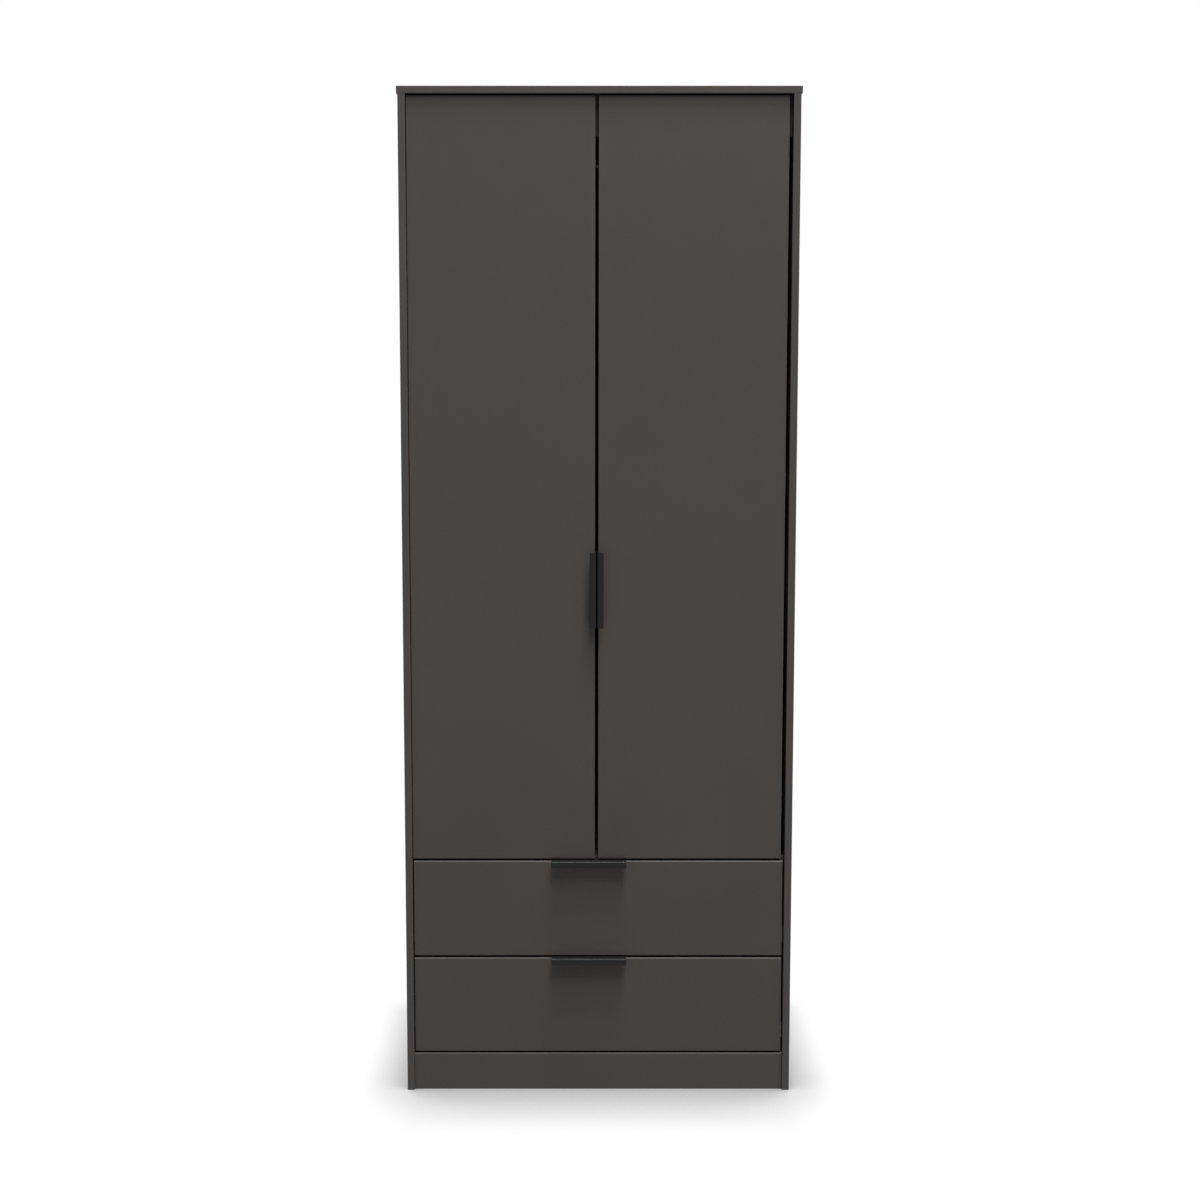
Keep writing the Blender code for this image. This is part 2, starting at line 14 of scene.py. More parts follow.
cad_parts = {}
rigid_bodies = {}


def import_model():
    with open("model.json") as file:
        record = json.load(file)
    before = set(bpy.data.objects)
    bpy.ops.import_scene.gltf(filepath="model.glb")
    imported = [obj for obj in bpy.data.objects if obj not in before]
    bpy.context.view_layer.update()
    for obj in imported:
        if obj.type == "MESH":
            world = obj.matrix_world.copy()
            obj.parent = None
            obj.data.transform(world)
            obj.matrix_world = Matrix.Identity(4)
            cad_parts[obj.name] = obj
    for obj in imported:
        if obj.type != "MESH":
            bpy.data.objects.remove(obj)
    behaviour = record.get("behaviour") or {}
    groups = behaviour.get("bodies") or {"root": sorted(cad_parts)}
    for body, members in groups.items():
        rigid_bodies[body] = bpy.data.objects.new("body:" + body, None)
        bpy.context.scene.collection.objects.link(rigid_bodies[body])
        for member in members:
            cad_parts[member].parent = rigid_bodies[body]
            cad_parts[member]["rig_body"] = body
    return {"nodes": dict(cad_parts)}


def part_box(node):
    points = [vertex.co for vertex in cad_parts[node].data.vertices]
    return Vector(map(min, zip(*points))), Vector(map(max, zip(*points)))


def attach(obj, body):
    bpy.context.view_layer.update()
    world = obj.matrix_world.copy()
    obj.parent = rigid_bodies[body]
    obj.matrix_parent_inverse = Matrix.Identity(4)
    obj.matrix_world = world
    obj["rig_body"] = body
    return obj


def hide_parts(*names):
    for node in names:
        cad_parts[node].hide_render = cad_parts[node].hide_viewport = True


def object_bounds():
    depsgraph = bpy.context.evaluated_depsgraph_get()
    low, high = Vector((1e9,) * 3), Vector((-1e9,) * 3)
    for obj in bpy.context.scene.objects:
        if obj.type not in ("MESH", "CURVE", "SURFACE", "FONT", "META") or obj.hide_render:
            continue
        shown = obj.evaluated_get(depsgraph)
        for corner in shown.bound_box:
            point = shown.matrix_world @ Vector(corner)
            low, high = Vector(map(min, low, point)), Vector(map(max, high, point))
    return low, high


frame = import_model()
cad_low, cad_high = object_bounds()

SIDES = {"left": -1, "right": 1}  # the sign of each side's x
ROWS = ("upper", "lower")
LEVELS = ("top", "middle", "bottom")
DIRECTIONS = {
    "-X": Vector((-1, 0, 0)), "+X": Vector((1, 0, 0)), "-Y": Vector((0, -1, 0)),
    "+Y": Vector((0, 1, 0)), "-Z": Vector((0, 0, -1)), "+Z": Vector((0, 0, 1)),
}
AXES = {"X": 0, "Y": 1, "Z": 2}
FLAT = 0.98  # a face whose normal has this much of an axis counts as square to it
CREASE = math.radians(38)  # edges sharper than this stay sharp in the shading

# Boards
EDGE_RADIUS = 0.0010  # rounding of a lipped edge
EDGE_STEPS = 3
TOP_BEVEL = (0.0014, 0.0023)  # depth and height of the bevel along the top of drawer fronts and plinth
GAP = 0.0003  # the air that the CAD model keeps between touching pieces
SHEET_EDGE = 0.0003
DRAWER_EDGE_RADIUS = 0.0025  # rounding of the drawer boxes' upper edges

# Back panel pins
PIN_LINE_REACH = 0.345  # of the outermost pins from the middle
PINS_IN_LINE = 7
PINS_FROM_SEAM = 0.0042  # above and below the line where the two sheets meet

# Door fittings
CUP_RADIUS = 0.0172
CUP_BORE_RADIUS = 0.0175
CUP_BORE_FLOOR = 0.0032  # board left in front of the cup's bore
CUP_IN = 0.022  # cup centre from the door's hinge edge
ARM_RISE = 0.010  # of the hinge arm's face past the door's hinge edge, seen from the side panel
BUMPER_RADIUS = 0.0045
BUMPER_HEIGHT = 0.0020
BUMPER_INSET = 0.028  # from the door's edges

# Handles
HANDLE_DEPTH = 0.013  # how far they stand out in front of the carcass
HANDLE_SHEET = 0.0015
HANDLE_LIP = 0.012
HANDLE_OUTER = 0.0009  # rounding of the profile's outer corners
HANDLE_INNER = 0.0003  # and of its inner corners
HANDLE_SCREW_INSET = 0.020  # from the handle's ends

# Folded sheet steel of hinges and runners
STEEL = 0.0012
BEND = 0.0005
SHEET_SOFT = 0.0004  # rounding of a runner's free edges
AXLE_PAST = 0.0035  # length of a roller's axle past the roller's middle

# Camera: stands in front of the carcass, a little left of its middle, tilted slightly down
CAMERA_X = -0.0370
CAMERA_DISTANCE = 3.6118  # from the carcass's front
CAMERA_HEIGHT = 1.3944
CAMERA_TILT = math.radians(6.397)
CAMERA_LENS = 55.953
CAMERA_SENSOR = 36.0
CAMERA_SHIFT = 0.0168

# Light
LIGHTS = {  # the middle, size and power of rectangles overhead that shine straight down
    "broad_overhead": ((1.4, -3.7025, 9.0), (3.8, 6.1), 850.0),
    "steep_overhead": ((0.6, -1.3525, 8.95), (1.8, 1.38), 540.0),
}
AMBIENT = 0.27  # even light from all round

# Floor
FLOOR_SIZE = 14.0
FLOOR_DROP = 0.0002  # below the object's foot
FLOOR_BOUNCE = 0.24  # the share of light that it gives back to the object
# the floor's shadow is painted: ambient occlusion dims its glow
FLOOR_SHADOW_DEPTH = 1.11  # the power that the floor's brightness in shadow is raised to
FRONT_SHADOW_REACH = 0.24  # of the shadow in front of the object
SIDE_SHADOW_REACH = 0.10  # and elsewhere round it


# Shapes

def block(low, high, radius=0.0, steps=EDGE_STEPS, sharp=()):
    """A box with rounded edges, apart from those of its sharp sides."""
    bm = bmesh.new()
    size = [h - l for l, h in zip(low, high)]
    middle = [(l + h) / 2 for l, h in zip(low, high)]
    bmesh.ops.create_cube(bm, size=1.0, matrix=Matrix.Translation(middle) @ Matrix.Diagonal((*size, 1)))
    kept = [DIRECTIONS[side] for side in sharp]
    edges = [
        e for e in bm.edges
        if not any(f.normal.dot(d) > FLAT for f in e.link_faces for d in kept)
    ]
    if radius and edges:
        bmesh.ops.bevel(bm, geom=edges, offset=radius, offset_type="OFFSET", segments=steps,
                        profile=0.5, affect="EDGES", clamp_overlap=True)
    return bm


def filleted(corners, steps=4):
    """An outline from (a, b, radius) corners, with an arc where the radius isn't zero."""
    outline = []
    for i, (a, b, radius) in enumerate(corners):
        corner = Vector((a, b))
        if not radius:
            outline.append((a, b))
            continue
        back = (Vector(corners[i - 1][:2]) - corner).normalized()
        ahead = (Vector(corners[(i + 1) % len(corners)][:2]) - corner).normalized()
        half = back.angle(ahead) / 2
        centre = corner + (back + ahead).normalized() * (radius / math.sin(half))
        start = corner + back * (radius / math.tan(half)) - centre
        end = corner + ahead * (radius / math.tan(half)) - centre
        first = math.atan2(start.y, start.x)
        sweep = (math.atan2(end.y, end.x) - first + math.pi) % (2 * math.pi) - math.pi
        for k in range(steps + 1):
            angle = first + sweep * k / steps
            outline.append((centre.x + radius * math.cos(angle), centre.y + radius * math.sin(angle)))
    return outline


def prism(outline, low, high, axis, soften=0.0):
    """An outline in the plane across the axis, extruded from low to high, its end edges softened."""
    place = {
        "X": lambda a, b: (low, a, b),
        "Y": lambda a, b: (a, low, b),
        "Z": lambda a, b: (a, b, low),
    }[axis]
    bm = bmesh.new()
    face = bm.faces.new([bm.verts.new(place(a, b)) for a, b in outline])
    grown = bmesh.ops.extrude_face_region(bm, geom=[face])["geom"]
    step = Vector([(high - low) * (axis == name) for name in "XYZ"])
    bmesh.ops.translate(bm, vec=step, verts=[v for v in grown if isinstance(v, bmesh.types.BMVert)])
    bmesh.ops.recalc_face_normals(bm, faces=bm.faces)
    if soften:
        ends = [f for f in bm.faces if abs(f.normal[AXES[axis]]) > FLAT]
        rim = list({e for f in ends for e in f.edges})
        bmesh.ops.bevel(bm, geom=rim, offset=soften, offset_type="OFFSET", segments=2,
                        profile=0.5, affect="EDGES", clamp_overlap=True)
    return bm


def turned(profile, base=(0, 0, 0), direction=(0, 0, 1), segments=48):
    """A (radius, height) profile spun about the line through base; closed unless it ends on the line."""
    bm = bmesh.new()
    points = [bm.verts.new((radius, 0, height)) for radius, height in profile]
    edges = [bm.edges.new(pair) for pair in zip(points, points[1:])]
    if profile[0][0] > 0:
        edges.append(bm.edges.new((points[-1], points[0])))
    bmesh.ops.spin(bm, geom=points + edges, axis=(0, 0, 1), cent=(0, 0, 0),
                   angle=2 * math.pi, steps=segments, use_merge=True)
    bmesh.ops.remove_doubles(bm, verts=bm.verts, dist=1e-6)
    bmesh.ops.recalc_face_normals(bm, faces=bm.faces)
    turn = Vector((0, 0, 1)).rotation_difference(Vector(direction)).to_matrix().to_4x4()
    bmesh.ops.transform(bm, matrix=Matrix.Translation(base) @ turn, verts=bm.verts)
    return bm


def dome(radius, flat, rim, height, steps=6):
    """A profile's quarter curve, from the rim's height at the radius up to full height at the flat top."""
    quarter = [math.pi / 2 * k / steps for k in range(steps + 1)]
    return [(flat + (radius - flat) * math.cos(a), rim + (height - rim) * math.sin(a)) for a in quarter]


def temporary(bm):
    """A shape as an object for a moment, which a Boolean modifier needs."""
    mesh = bpy.data.meshes.new("temporary")
    bm.to_mesh(mesh)
    bm.free()
    obj = bpy.data.objects.new("temporary", mesh)
    bpy.context.scene.collection.objects.link(obj)
    return obj


def combined(bm, others, operation):
    """A shape after Boolean unions with, or differences from, other shapes."""
    base = temporary(bm)
    helpers = [temporary(other) for other in others]
    for helper in helpers:
        step = base.modifiers.new("Boolean", "BOOLEAN")
        step.operation = operation
        step.object = helper
    graph = bpy.context.evaluated_depsgraph_get()
    mesh = bpy.data.meshes.new_from_object(base.evaluated_get(graph))
    result = bmesh.new()
    result.from_mesh(mesh)
    bpy.data.meshes.remove(mesh)
    for obj in [base, *helpers]:
        used = obj.data
        bpy.data.objects.remove(obj)
        bpy.data.meshes.remove(used)
    return result


def gathered(shapes):
    """Separate shapes in one mesh."""
    result = bmesh.new()
    for bm in shapes:
        mesh = bpy.data.meshes.new("temporary")
        bm.to_mesh(mesh)
        bm.free()
        result.from_mesh(mesh)
        bpy.data.meshes.remove(mesh)
    return result


def mirrored(bm, side):
    """Turns a shape drawn for the left side into one for the given side."""
    bmesh.ops.transform(bm, matrix=Matrix.Diagonal((-side, 1, 1, 1)), verts=bm.verts)
    bmesh.ops.recalc_face_normals(bm, faces=bm.faces)
    return bm


def paint(bm, rule):
    """Gives each face the material slot that rule says for its normal and middle."""
    bm.normal_update()
    for face in bm.faces:
        face.material_index = rule(face.normal, face.calc_center_median())
    return bm


def middle_of(node):
    low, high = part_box(node)
    return (low + high) / 2


def board_rule(axis, raw=()):
    """Laminate on a board's two faces, lipping on its edges, bare chipboard on its raw sides."""
    bare = [DIRECTIONS[side] for side in raw]

    def rule(normal, middle):
        if any(normal.dot(d) > FLAT for d in bare):
            return 2
        return 0 if abs(normal[AXES[axis]]) > FLAT else 1

    return rule


# Pieces

def piece(name, bm, materials, body, place=None):
    """A shape as a smooth-shaded piece that rides on a body."""
    mesh = bpy.data.meshes.new(name)
    bm.to_mesh(mesh)
    bm.free()
    for material in materials:
        mesh.materials.append(material)
    mesh.shade_smooth()
    mesh.set_sharp_from_angle(angle=CREASE)
    obj = bpy.data.objects.new(name, mesh)
    bpy.context.scene.collection.objects.link(obj)
    if place is not None:
        obj.location = place
    weighted = obj.modifiers.new("Flat faces stay flat", "WEIGHTED_NORMAL")
    weighted.keep_sharp = True
    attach(obj, body)
    return obj


def stand_in(node, ending, bm, materials, place=None):
    """A piece that is shown instead of a CAD node and rides on that node's body."""
    obj = piece(f"{node}_{ending}", bm, materials, frame["nodes"][node]["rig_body"], place)
    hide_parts(node)
    return obj


# Materials

def link(tree, source, target):
    tree.links.new(source, target)


def fresh(name):
    """A new material, its node tree and its shader."""
    material = bpy.data.materials.new(name)
    material.use_nodes = True
    tree = material.node_tree
    return material, tree, tree.nodes["Principled BSDF"]


def coordinates(tree, stretch=(1, 1, 1)):
    """The piece's own coordinates, in metres, stretched along an axis if asked."""
    source = tree.nodes.new("ShaderNodeTexCoord")
    mapping = tree.nodes.new("ShaderNodeMapping")
    mapping.inputs["Scale"].default_value = stretch
    link(tree, source.outputs["Object"], mapping.inputs["Vector"])
    return mapping.outputs["Vector"]


def noise(tree, vector, scale, detail=2.0, roughness=0.5):
    node = tree.nodes.new("ShaderNodeTexNoise")
    node.inputs["Scale"].default_value = scale
    node.inputs["Detail"].default_value = detail
    node.inputs["Roughness"].default_value = roughness
    link(tree, vector, node.inputs["Vector"])
    return node.outputs["Fac"]


def ranged(tree, value, low, high, start=0.3, end=0.7):
    """A value between start and end, spread over low to high."""
    node = tree.nodes.new("ShaderNodeMapRange")
    node.inputs["From Min"].default_value = start
    node.inputs["From Max"].default_value = end
    node.inputs["To Min"].default_value = low
    node.inputs["To Max"].default_value = high
    link(tree, value, node.inputs["Value"])
    return node.outputs["Result"]


def product(tree, first, second):
    node = tree.nodes.new("ShaderNodeMath")
    node.operation = "MULTIPLY"
    link(tree, first, node.inputs[0])
    link(tree, second, node.inputs[1])
    return node.outputs["Value"]


def shaded(tree, colour, factor):
    """A colour, or another node's colour output, whose brightness a factor multiplies."""
    node = tree.nodes.new("ShaderNodeVectorMath")
    node.operation = "SCALE"
    if isinstance(colour, tuple):
        node.inputs[0].default_value = colour
    else:
        link(tree, colour, node.inputs[0])
    link(tree, factor, node.inputs["Scale"])
    return node.outputs["Vector"]


def blended(tree, colours, factor):
    """Colours at even steps along a factor, blended between."""
    node = tree.nodes.new("ShaderNodeValToRGB")
    ramp = node.color_ramp
    while len(ramp.elements) < len(colours):
        ramp.elements.new(0.5)
    for i, colour in enumerate(colours):
        ramp.elements[i].position = i / (len(colours) - 1)
        ramp.elements[i].color = (*colour, 1.0)
    link(tree, factor, node.inputs["Fac"])
    return node.outputs["Color"]


def bumped(tree, shader, height, distance, strength=1.0):
    node = tree.nodes.new("ShaderNodeBump")
    node.inputs["Distance"].default_value = distance
    node.inputs["Strength"].default_value = strength
    link(tree, height, node.inputs["Height"])
    link(tree, node.outputs["Normal"], shader.inputs["Normal"])


def laminate(name, colour, roughness, pearl=850.0, depth=0.00005):
    """Melamine face: a fine pearl texture, with faint cloudy and speckled changes of shade."""
    material, tree, shader = fresh(name)
    vector = coordinates(tree)
    clouds = ranged(tree, noise(tree, vector, 4.5, 3.0), 0.975, 1.025)
    speckle = ranged(tree, noise(tree, vector, 620.0, 1.0), 0.96, 1.04)
    link(tree, shaded(tree, colour, product(tree, clouds, speckle)), shader.inputs["Base Color"])
    sheen = noise(tree, vector, 38.0, 4.0, 0.6)
    link(tree, ranged(tree, sheen, roughness - 0.025, roughness + 0.035), shader.inputs["Roughness"])
    shader.inputs["Specular IOR Level"].default_value = 0.42
    bumped(tree, shader, noise(tree, vector, pearl, 2.0, 0.55), depth, 0.55)
    return material


def chipboard():
    """Bare sawn edge: pale and dark wood flakes with resin between them."""
    material, tree, shader = fresh("bare_chipboard")
    vector = coordinates(tree)
    flakes = tree.nodes.new("ShaderNodeTexVoronoi")
    flakes.inputs["Scale"].default_value = 420.0
    flakes.inputs["Randomness"].default_value = 1.0
    link(tree, vector, flakes.inputs["Vector"])
    grey = tree.nodes.new("ShaderNodeRGBToBW")
    link(tree, flakes.outputs["Color"], grey.inputs["Color"])
    woods = [(0.17, 0.10, 0.055), (0.36, 0.24, 0.14), (0.47, 0.35, 0.22), (0.27, 0.17, 0.095)]
    link(tree, blended(tree, woods, grey.outputs["Val"]), shader.inputs["Base Color"])
    shader.inputs["Roughness"].default_value = 0.85
    bumped(tree, shader, noise(tree, vector, 900.0, 3.0), 0.0003)
    return material


def hardboard():
    """Pressed brown fibre sheet, with a faint mesh print and drifting shade."""
    material, tree, shader = fresh("brown_hardboard")
    vector = coordinates(tree)
    fibres = noise(tree, coordinates(tree, (260.0, 1.0, 900.0)), 1.0, 4.0, 0.7)
    drift = ranged(tree, noise(tree, vector, 5.0, 3.0), 0.92, 1.08)
    brown = blended(tree, [(0.155, 0.088, 0.045), (0.225, 0.135, 0.072)], fibres)
    link(tree, shaded(tree, brown, drift), shader.inputs["Base Color"])
    link(tree, ranged(tree, fibres, 0.66, 0.8), shader.inputs["Roughness"])
    bumped(tree, shader, fibres, 0.00012)
    return material


def linen_foil():
    """Grey drawer foil with a printed linen weave."""
    material, tree, shader = fresh("grey_linen_foil")
    vector = coordinates(tree)
    warp = noise(tree, coordinates(tree, (1.0, 30.0, 1400.0)), 1.0, 2.0)
    weft = noise(tree, coordinates(tree, (1400.0, 1400.0, 30.0)), 1.0, 2.0)
    weave = product(tree, ranged(tree, warp, 0.93, 1.05), ranged(tree, weft, 0.93, 1.05))
    drift = ranged(tree, noise(tree, vector, 6.0, 2.0), 0.97, 1.03)
    grey = shaded(tree, (0.205, 0.203, 0.196), product(tree, weave, drift))
    link(tree, grey, shader.inputs["Base Color"])
    link(tree, ranged(tree, weave, 0.5, 0.62, 0.85, 1.1), shader.inputs["Roughness"])
    bumped(tree, shader, weave, 0.00008)
    return material


def powder_coat(name, colour, roughness, grain=700.0, depth=0.00006):
    """Powder-coated sheet: a fine orange peel, with painted shade a little darker in its hollows and
    painted light on its crests.
    """
    material, tree, shader = fresh(name)
    vector = coordinates(tree)
    peel = noise(tree, vector, grain, 2.0, 0.6)
    drift = noise(tree, vector, 24.0, 2.0)
    # painted shade and light: the peel's relief also darkens its hollows and lightens its crests
    factor = product(tree, ranged(tree, peel, 0.92, 1.08), ranged(tree, drift, 0.96, 1.04))
    link(tree, shaded(tree, colour, factor), shader.inputs["Base Color"])
    link(tree, ranged(tree, peel, roughness - 0.05, roughness + 0.06), shader.inputs["Roughness"])
    shader.inputs["Specular IOR Level"].default_value = 0.5
    bumped(tree, shader, peel, depth, 0.7)
    return material


def plated_steel(name, colour, roughness, stretch=(1, 1, 1), grain=180.0):
    """Plated or drawn steel: light streaks along the stretch, and soft smudges."""
    material, tree, shader = fresh(name)
    streaks = noise(tree, coordinates(tree, stretch), grain, 4.0, 0.65)
    smudges = noise(tree, coordinates(tree), 35.0, 3.0)
    link(tree, shaded(tree, colour, ranged(tree, smudges, 0.93, 1.04)), shader.inputs["Base Color"])
    link(tree, ranged(tree, streaks, roughness - 0.06, roughness + 0.09), shader.inputs["Roughness"])
    shader.inputs["Metallic"].default_value = 1.0
    bumped(tree, shader, streaks, 0.00002, 0.5)
    return material


def moulded(name, colour, roughness, subsurface=0.0, transmission=0.0):
    """Moulded plastic with a faint flow pattern."""
    material, tree, shader = fresh(name)
    vector = coordinates(tree)
    flow = noise(tree, vector, 130.0, 3.0, 0.6)
    link(tree, shaded(tree, colour, ranged(tree, flow, 0.96, 1.03)), shader.inputs["Base Color"])
    link(tree, ranged(tree, flow, roughness - 0.04, roughness + 0.05), shader.inputs["Roughness"])
    shader.inputs["Subsurface Weight"].default_value = subsurface
    shader.inputs["Subsurface Scale"].default_value = 0.002
    shader.inputs["Transmission Weight"].default_value = transmission
    bumped(tree, shader, flow, 0.00003, 0.4)
    return material


def make_materials():
    return {
        "face": laminate("graphite_laminate", (0.0700, 0.0610, 0.0560), 0.50),
        "lipping": laminate("graphite_lipping", (0.0725, 0.0635, 0.0585), 0.44, 1500.0, 0.00003),
        "chipboard": chipboard(),
        "hardboard": hardboard(),
        "foil": linen_foil(),
        "black": powder_coat("black_powder_coat", (0.0066, 0.0066, 0.0067), 0.44),
        "rail": plated_steel("drawn_steel", (0.64, 0.64, 0.63), 0.26, (0.04, 1, 1), 900.0),
        "nickel": plated_steel("dark_nickel_plate", (0.130, 0.127, 0.122), 0.30),
        "zinc": plated_steel("zinc_plate", (0.56, 0.57, 0.59), 0.36, (1, 1, 1), 400.0),
        "enamel": powder_coat("cream_enamel", (0.60, 0.595, 0.56), 0.34, 500.0, 0.00004),
        "nylon": moulded("natural_nylon", (0.72, 0.71, 0.66), 0.42, subsurface=0.25),
        "clear": moulded("clear_bumper", (0.78, 0.78, 0.76), 0.25, subsurface=0.1, transmission=0.5),
    }


M = make_materials()
BOARD = [M["face"], M["lipping"], M["chipboard"]]


# Screws and pins

def screw_head(radius, height):
    """A pan-head screw with a cross recess, standing on z = 0."""
    curve = dome(radius, 0.35 * radius, 0.3 * height, height)
    head = turned([(0, -GAP / 2), (radius, -GAP / 2), *curve, (0, height)], segments=24)
    long, short = 0.55 * radius, 0.13 * radius
    floor = 0.45 * height
    cross = [
        block((-a, -b, floor), (a, b, 2 * height))
        for a, b in ((long, short), (short, long))
    ]
    return combined(head, cross, "DIFFERENCE")


def pin_head(radius, height):
    """A plain round head with a soft rim, standing on z = 0."""
    soft = height / 2
    return turned([(0, -GAP / 2), (radius, -GAP / 2), (radius, height - soft), (radius - soft, height),
                   (0, height)], segments=20)


def copies(template, spots, direction):
    """Copies of a shape drawn along +Z, turned to a direction, one at each spot."""
    mesh = bpy.data.meshes.new("temporary")
    template.to_mesh(mesh)
    template.free()
    turn = Vector((0, 0, 1)).rotation_difference(Vector(direction)).to_matrix().to_4x4()
    result = bmesh.new()
    for spot in spots:
        before = len(result.verts)
        result.from_mesh(mesh)
        result.verts.ensure_lookup_table()
        bmesh.ops.transform(result, matrix=Matrix.Translation(spot) @ turn, verts=result.verts[before:])
    bpy.data.meshes.remove(mesh)
    return result


# Carcass

PLAIN_BOARDS = {  # the axis across the board, and its sides that are bare chipboard
    "top_panel": ("Z", ("+Y",)),
    "base_panel": ("Z", ("+Y", "-X", "+X")),
    "divider_shelf": ("Z", ("+Y", "-X", "+X")),
    "front_top_rail": ("Y", ("+Z", "-X", "+X")),
    "rear_top_rail": ("Y", ("+Z", "-X", "+X")),
}
BEVEL_TOPPED = ("plinth", "upper_drawer_front", "lower_drawer_front")


def build_boards():
    for node, (axis, raw) in PLAIN_BOARDS.items():
        low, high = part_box(node)
        bm = block(low, high, EDGE_RADIUS, sharp=raw)
        stand_in(node, "board", paint(bm, board_rule(axis, raw)), BOARD)
    for node in BEVEL_TOPPED:
        low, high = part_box(node)
        hidden = node == "plinth"  # its ends and foot are bare, out of sight
        foot = 0.0 if hidden else EDGE_RADIUS
        depth, height = TOP_BEVEL
        outline = filleted([
            (low.y, low.z, foot), (high.y, low.z, foot), (high.y, high.z, EDGE_RADIUS),
            (low.y + depth, high.z, 0.5 * EDGE_RADIUS), (low.y, high.z - height, EDGE_RADIUS),
        ])
        bm = prism(outline, low.x, high.x, "X", soften=0.0 if hidden else 0.6 * EDGE_RADIUS)
        raw = ("-Z", "-X", "+X") if hidden else ()
        stand_in(node, "board", paint(bm, board_rule("Y", raw)), BOARD)


def build_side_panels():
    """Rounded, lipped front edges; a groove near the back for the back panels; a sawn rear edge."""
    back_low, back_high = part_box("upper_back_panel")
    groove_front = back_low.y - GAP
    groove_back = back_high.y + GAP

    def rule(normal, middle):
        if normal.y > FLAT or abs(normal.z) > FLAT or (middle.y > groove_front and normal.y < -FLAT):
            return 2
        return 0 if abs(normal.x) > FLAT else 1

    for word, side in SIDES.items():
        node = f"{word}_side_panel"
        low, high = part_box(node)
        outer, inner = (high.x, low.x) if side > 0 else (low.x, high.x)
        groove = side * (back_high.x + GAP)
        outline = filleted([
            (outer, low.y, EDGE_RADIUS), (outer, high.y, 0), (inner, high.y, 0), (inner, groove_back, 0),
            (groove, groove_back, 0), (groove, groove_front, 0), (inner, groove_front, 0),
            (inner, low.y, EDGE_RADIUS),
        ])
        bm = prism(outline, low.z, high.z, "Z")
        stand_in(node, "board", paint(bm, rule), BOARD)


def build_back():
    """Fibre sheets with a printed front, pinned to the boards behind which they stand."""
    for node in ("upper_back_panel", "lower_back_panel"):
        low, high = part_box(node)
        bm = block(low, high, SHEET_EDGE, steps=1)
        bm = paint(bm, lambda normal, middle: 0 if normal.y < -FLAT else 1)
        stand_in(node, "sheet", bm, [M["face"], M["hardboard"]])

    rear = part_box("upper_back_panel")[1].y
    seam = middle_of("divider_shelf").z
    lines = [
        middle_of("rear_top_rail").z, seam + PINS_FROM_SEAM, seam - PINS_FROM_SEAM,
        middle_of("base_panel").z,
    ]
    spots = [
        (-PIN_LINE_REACH + 2 * PIN_LINE_REACH * i / (PINS_IN_LINE - 1), rear, z)
        for z in lines for i in range(PINS_IN_LINE)
    ]
    piece("back_panel_pins", copies(pin_head(0.0017, 0.0006), spots, (0, 1, 0)), [M["zinc"]],
          "carcass")


def build_hanging_rail():
    """A steel tube, and a flanged socket on each side panel that holds its end."""
    low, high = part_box("hanging_rail")
    centre = (low + high) / 2
    radius = (high.z - low.z) / 2
    wall = 0.001
    soft = 0.0003
    half = (high.x - low.x) / 2
    tube = turned(
        [(radius, -half + soft), (radius, half - soft), (radius - soft, half), (radius - wall, half),
         (radius - wall, -half), (radius - soft, -half)], centre, (1, 0, 0), 64)
    stand_in("hanging_rail", "tube", tube, [M["rail"]])

    flange_radius, flange, rim_radius, length = 0.022, 0.0023, 0.0126, 0.013
    hole = radius + GAP
    screw_circle = 0.0173
    thirds = [math.radians(90), math.radians(210), math.radians(330)]
    for word, side in SIDES.items():
        node = f"{word}_rail_socket"
        low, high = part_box(node)
        foot = high.x if side > 0 else low.x
        profile = [
            (0, 0), (flange_radius - soft, 0), (flange_radius, soft), (flange_radius - 0.0004, 0.0013),
            (flange_radius - 0.0012, 0.0017), (rim_radius + 0.0016, flange),
            (rim_radius + 0.0005, flange + 0.0005), (rim_radius, flange + 0.0014),
            (rim_radius, length - 0.0008), (rim_radius - 0.0006, length), (hole + 0.0004, length),
            (hole, length - 0.0005), (hole, flange), (0, flange),
        ]
        shape = turned(profile, (foot, centre.y, centre.z), (-side, 0, 0), 64)
        stand_in(node, "cup", shape, [M["nickel"]])
        seat = foot - side * (flange - 0.0006)
        spots = [
            (seat, centre.y + screw_circle * math.cos(turn), centre.z + screw_circle * math.sin(turn))
            for turn in thirds
        ]
        piece(f"{word}_rail_socket_screws", copies(screw_head(0.0029, 0.0013), spots, (-side, 0, 0)),
              [M["zinc"]], "carcass")


# Handles

def build_handle(node, along, across_axis, free_sign):
    """A folded strip: a lip, a plate over the front's edge and a rear leg with two screws.

    free_sign points from the front's edge to open air.
    """
    low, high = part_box(node)
    a = AXES[across_axis]
    out = high[a] if free_sign > 0 else low[a]
    inn = out - free_sign * HANDLE_SHEET
    lip = out - free_sign * HANDLE_LIP
    leg = low[a] if free_sign > 0 else high[a]
    nose, back = low.y, high.y
    tip = 0.0005
    outline = filleted([
        (lip, nose, tip), (out, nose, HANDLE_OUTER), (out, back, HANDLE_OUTER), (leg, back, tip),
        (leg, back - HANDLE_SHEET, tip), (inn, back - HANDLE_SHEET, HANDLE_INNER),
        (inn, nose + HANDLE_SHEET, HANDLE_INNER), (lip, nose + HANDLE_SHEET, tip),
    ], steps=5)
    if along == "X":
        outline = [(depth, across) for across, depth in outline]
    k = AXES[along]
    bm = prism(outline, low[k], high[k], along, soften=0.0003)
    stand_in(node, "strip", bm, [M["black"]])

    body = frame["nodes"][node]["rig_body"]
    spots = []
    for place in (low[k] + HANDLE_SCREW_INSET, high[k] - HANDLE_SCREW_INSET):
        spot = Vector((0, back - GAP / 2, 0))
        spot[k] = place
        spot[a] = (inn + leg) / 2
        spots.append(spot)
    piece(f"{node}_screws", copies(screw_head(0.0030, 0.0014), spots, (0, 1, 0)), [M["zinc"]],
          body)


# Doors and hinges

